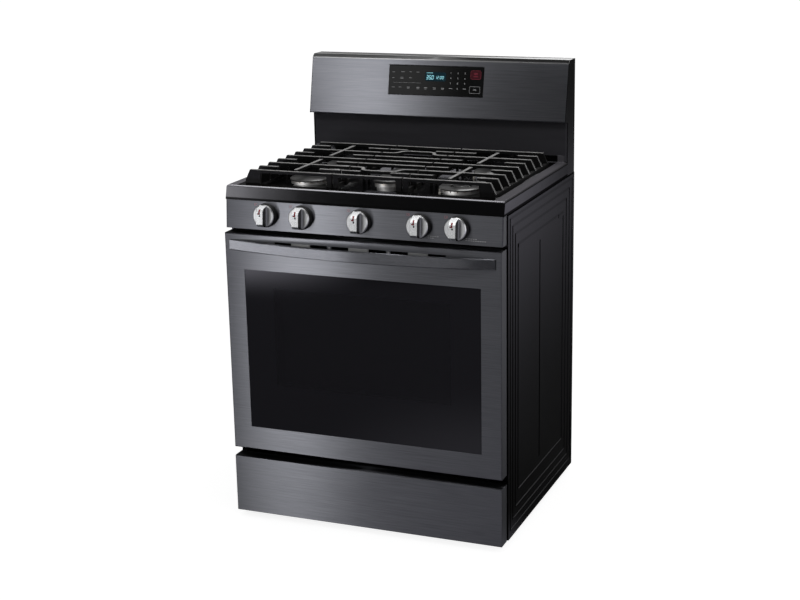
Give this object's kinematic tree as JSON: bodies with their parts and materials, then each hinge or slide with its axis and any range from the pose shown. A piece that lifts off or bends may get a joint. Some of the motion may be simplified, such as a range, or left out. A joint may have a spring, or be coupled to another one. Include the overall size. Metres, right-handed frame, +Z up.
{
  "type": "freestanding gas range",
  "caption": "Freestanding gas range with sealed burners under cast grates, front knobs, bowed-handle oven door, storage drawer and a raised backguard with a display.",
  "frame": {"origin": "on the floor, under the middle of the range's bounding box", "axes": "+X to the user's right, -Y towards the user, +Z up"},
  "size_m": [0.762, 0.6759, 1.19],
  "materials": {
    "side_enamel": "satin black enamel",
    "galvanised_steel": "zinc-coated sheet, matt",
    "black_stainless": "dark brushed stainless with a horizontal grain",
    "black_enamel": "gloss black enamel",
    "oven_enamel": "dark speckled porcelain enamel",
    "drawer_paint": "matt dark grey paint",
    "rack_chrome": "plated wire",
    "aluminised_steel": "aluminised tube, heat-toned",
    "gasket_fibre": "woven glass-fibre rope",
    "lamp_glass": "clear ribbed glass",
    "door_glass": "tinted gloss glass",
    "display_black_glass": "gloss black",
    "module_plastic": "moulded, matt",
    "gas_brass": "turned",
    "gas_pipe": "drawn tube",
    "cast_zinc": "cast, fine grained",
    "knob_silver": "satin silver",
    "burner_aluminium": "cast, machined crown",
    "cap_enamel": "satin black enamel",
    "igniter_ceramic": "glazed white ceramic",
    "grate_iron": "matt black enamelled casting",
    "leg_plastic": "moulded foot on a threaded stem"
  },
  "bodies": {
    "range_body": {"side_panel_left": "side_enamel", "side_panel_right": "side_enamel", "rear_panel": "galvanised_steel", "base_frame": "galvanised_steel", "drawer_rails": "galvanised_steel", "hinge_receivers": "galvanised_steel", "backguard_housing": "galvanised_steel", "control_panel": "black_stainless", "backguard_panel": "black_stainless", "cooktop": "black_enamel", "backguard_lower_panel": "black_enamel", "oven_front_frame": "black_enamel", "oven_cavity": "oven_enamel", "oven_floor": "oven_enamel", "oven_rack_lower": "rack_chrome", "oven_rack_upper": "rack_chrome", "bake_burner": "aluminised_steel", "broil_burner": "aluminised_steel", "oven_gasket": "gasket_fibre", "oven_light": "lamp_glass", "display_glass": "display_black_glass", "display_module": "module_plastic", "gas_manifold": "gas_pipe", "gas_supply_tube": "gas_pipe", "gas_regulator": "cast_zinc", "burner_base_left_front": "burner_aluminium", "burner_base_left_rear": "burner_aluminium", "burner_base_center": "burner_aluminium", "burner_base_right_rear": "burner_aluminium", "burner_base_right_front": "burner_aluminium", "burner_cap_left_front": "cap_enamel", "burner_cap_left_rear": "cap_enamel", "burner_cap_center": "cap_enamel", "burner_cap_right_rear": "cap_enamel", "burner_cap_right_front": "cap_enamel", "burner_igniters": "igniter_ceramic", "leveling_legs": "leg_plastic"},
    "oven_door": {"door_skin": "black_stainless", "door_glass_outer": "door_glass", "door_liner": "black_enamel", "door_glass_inner": "door_glass", "door_handle": "black_stainless", "door_hinges": "galvanised_steel"},
    "storage_drawer": {"drawer_front": "black_stainless", "drawer_box": "drawer_paint", "drawer_runners": "galvanised_steel"},
    "stem_left_front": {"valve_stem_left_front": "gas_brass"},
    "knob_left_front": {"knob_left_front": "knob_silver"},
    "stem_left_rear": {"valve_stem_left_rear": "gas_brass"},
    "knob_left_rear": {"knob_left_rear": "knob_silver"},
    "stem_center": {"valve_stem_center": "gas_brass"},
    "knob_center": {"knob_center": "knob_silver"},
    "stem_right_rear": {"valve_stem_right_rear": "gas_brass"},
    "knob_right_rear": {"knob_right_rear": "knob_silver"},
    "stem_right_front": {"valve_stem_right_front": "gas_brass"},
    "knob_right_front": {"knob_right_front": "knob_silver"},
    "grate_left": {"grate_left": "grate_iron"},
    "grate_center": {"grate_center": "grate_iron"},
    "grate_right": {"grate_right": "grate_iron"}
  },
  "joints": [
    {"name": "oven_door_hinge", "type": "hinge", "parent": "range_body", "child": "oven_door", "pos_m": [0, -0.262, 0.22], "axis": [1, 0, 0], "range_deg": [0, 90], "stiffness_Nm_per_rad": 10, "springref_deg": -28.65},
    {"name": "drawer_slide", "type": "slide", "parent": "range_body", "child": "storage_drawer", "axis": [0, -1, 0], "range_m": [0, 0.38]},
    {"name": "valve_turn_left_front", "type": "hinge", "parent": "range_body", "child": "stem_left_front", "pos_m": [-0.261, -0.28304, 0.842], "axis": [0, -0.9967, 0.0808], "range_deg": [0, 270]},
    {"name": "knob_push_left_front", "type": "slide", "parent": "stem_left_front", "child": "knob_left_front", "axis": [0, 0.9967, -0.0808], "range_m": [0, 0.003], "stiffness_N_per_m": 1500, "springref_m": -0.002},
    {"name": "valve_turn_left_rear", "type": "hinge", "parent": "range_body", "child": "stem_left_rear", "pos_m": [-0.161, -0.28304, 0.842], "axis": [0, -0.9967, 0.0808], "range_deg": [0, 270]},
    {"name": "knob_push_left_rear", "type": "slide", "parent": "stem_left_rear", "child": "knob_left_rear", "axis": [0, 0.9967, -0.0808], "range_m": [0, 0.003], "stiffness_N_per_m": 1500, "springref_m": -0.002},
    {"name": "valve_turn_center", "type": "hinge", "parent": "range_body", "child": "stem_center", "pos_m": [0, -0.28304, 0.842], "axis": [0, -0.9967, 0.0808], "range_deg": [0, 270]},
    {"name": "knob_push_center", "type": "slide", "parent": "stem_center", "child": "knob_center", "axis": [0, 0.9967, -0.0808], "range_m": [0, 0.003], "stiffness_N_per_m": 1500, "springref_m": -0.002},
    {"name": "valve_turn_right_rear", "type": "hinge", "parent": "range_body", "child": "stem_right_rear", "pos_m": [0.161, -0.28304, 0.842], "axis": [0, -0.9967, 0.0808], "range_deg": [0, 270]},
    {"name": "knob_push_right_rear", "type": "slide", "parent": "stem_right_rear", "child": "knob_right_rear", "axis": [0, 0.9967, -0.0808], "range_m": [0, 0.003], "stiffness_N_per_m": 1500, "springref_m": -0.002},
    {"name": "valve_turn_right_front", "type": "hinge", "parent": "range_body", "child": "stem_right_front", "pos_m": [0.261, -0.28304, 0.842], "axis": [0, -0.9967, 0.0808], "range_deg": [0, 270]},
    {"name": "knob_push_right_front", "type": "slide", "parent": "stem_right_front", "child": "knob_right_front", "axis": [0, 0.9967, -0.0808], "range_m": [0, 0.003], "stiffness_N_per_m": 1500, "springref_m": -0.002},
    {"name": "grate_lift_left", "type": "slide", "parent": "range_body", "child": "grate_left", "axis": [0, 0, 1], "range_m": [0, 0.12]},
    {"name": "grate_lift_center", "type": "slide", "parent": "range_body", "child": "grate_center", "axis": [0, 0, 1], "range_m": [0, 0.12]},
    {"name": "grate_lift_right", "type": "slide", "parent": "range_body", "child": "grate_right", "axis": [0, 0, 1], "range_m": [0, 0.12]}
  ]
}
